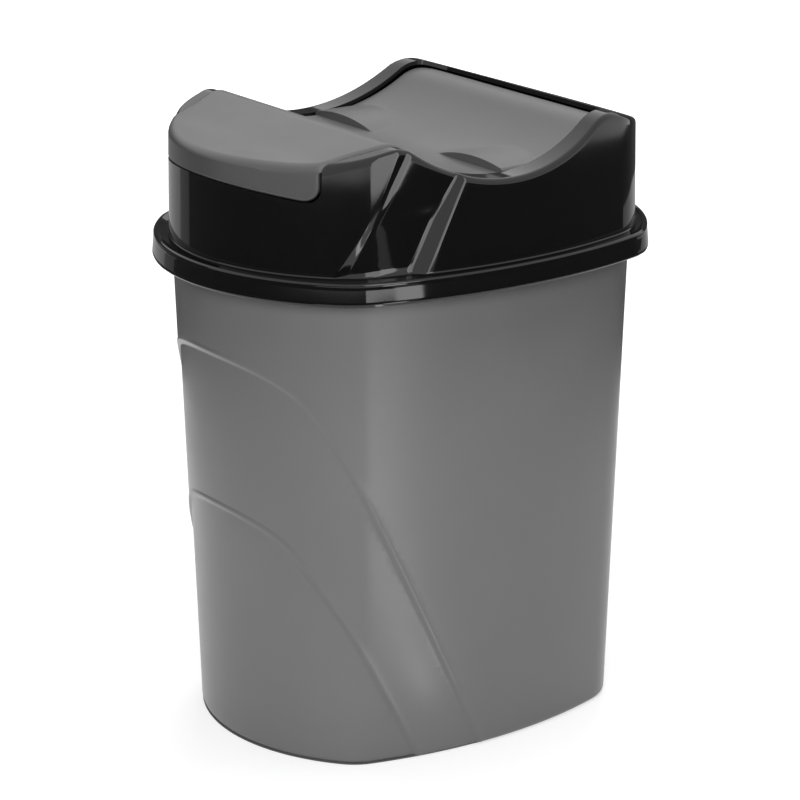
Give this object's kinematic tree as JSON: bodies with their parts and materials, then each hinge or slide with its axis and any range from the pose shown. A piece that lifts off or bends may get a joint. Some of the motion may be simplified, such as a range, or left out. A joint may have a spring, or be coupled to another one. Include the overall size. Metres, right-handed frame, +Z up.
{
  "type": "trash can",
  "caption": "Kitchen waste bin: tapered grey bucket with arched relief, glossy black lid with a collar over the rim, and a wave shaped flap that rocks about its middle.",
  "frame": {"origin": "centre of the bin's footprint, on the surface that it stands on", "axes": "+Z up; the front, with the flap's hanging lip, faces -Y; +X runs across the width, parallel to the flap's pivot line"},
  "size_m": [0.2096, 0.2634, 0.3263],
  "materials": {
    "bucket_plastic": "grey moulded plastic, satin, with a soft sheen",
    "lid_plastic": "black moulded plastic, polished to a high gloss",
    "flap_plastic": "dark grey moulded plastic, satin, with a soft sheen"
  },
  "bodies": {
    "bin": {"bucket": "bucket_plastic"},
    "lid": {"lid": "lid_plastic"},
    "flap": {"flap": "flap_plastic"}
  },
  "joints": [
    {"name": "lid_lift", "type": "slide", "parent": "bin", "child": "lid", "axis": [0, 0, 1], "range_m": [0, 0.1]},
    {"name": "flap_hinge", "type": "hinge", "parent": "lid", "child": "flap", "pos_m": [0, 0.003, 0.298], "axis": [-1, 0, 0], "range_deg": [0, 55]}
  ]
}
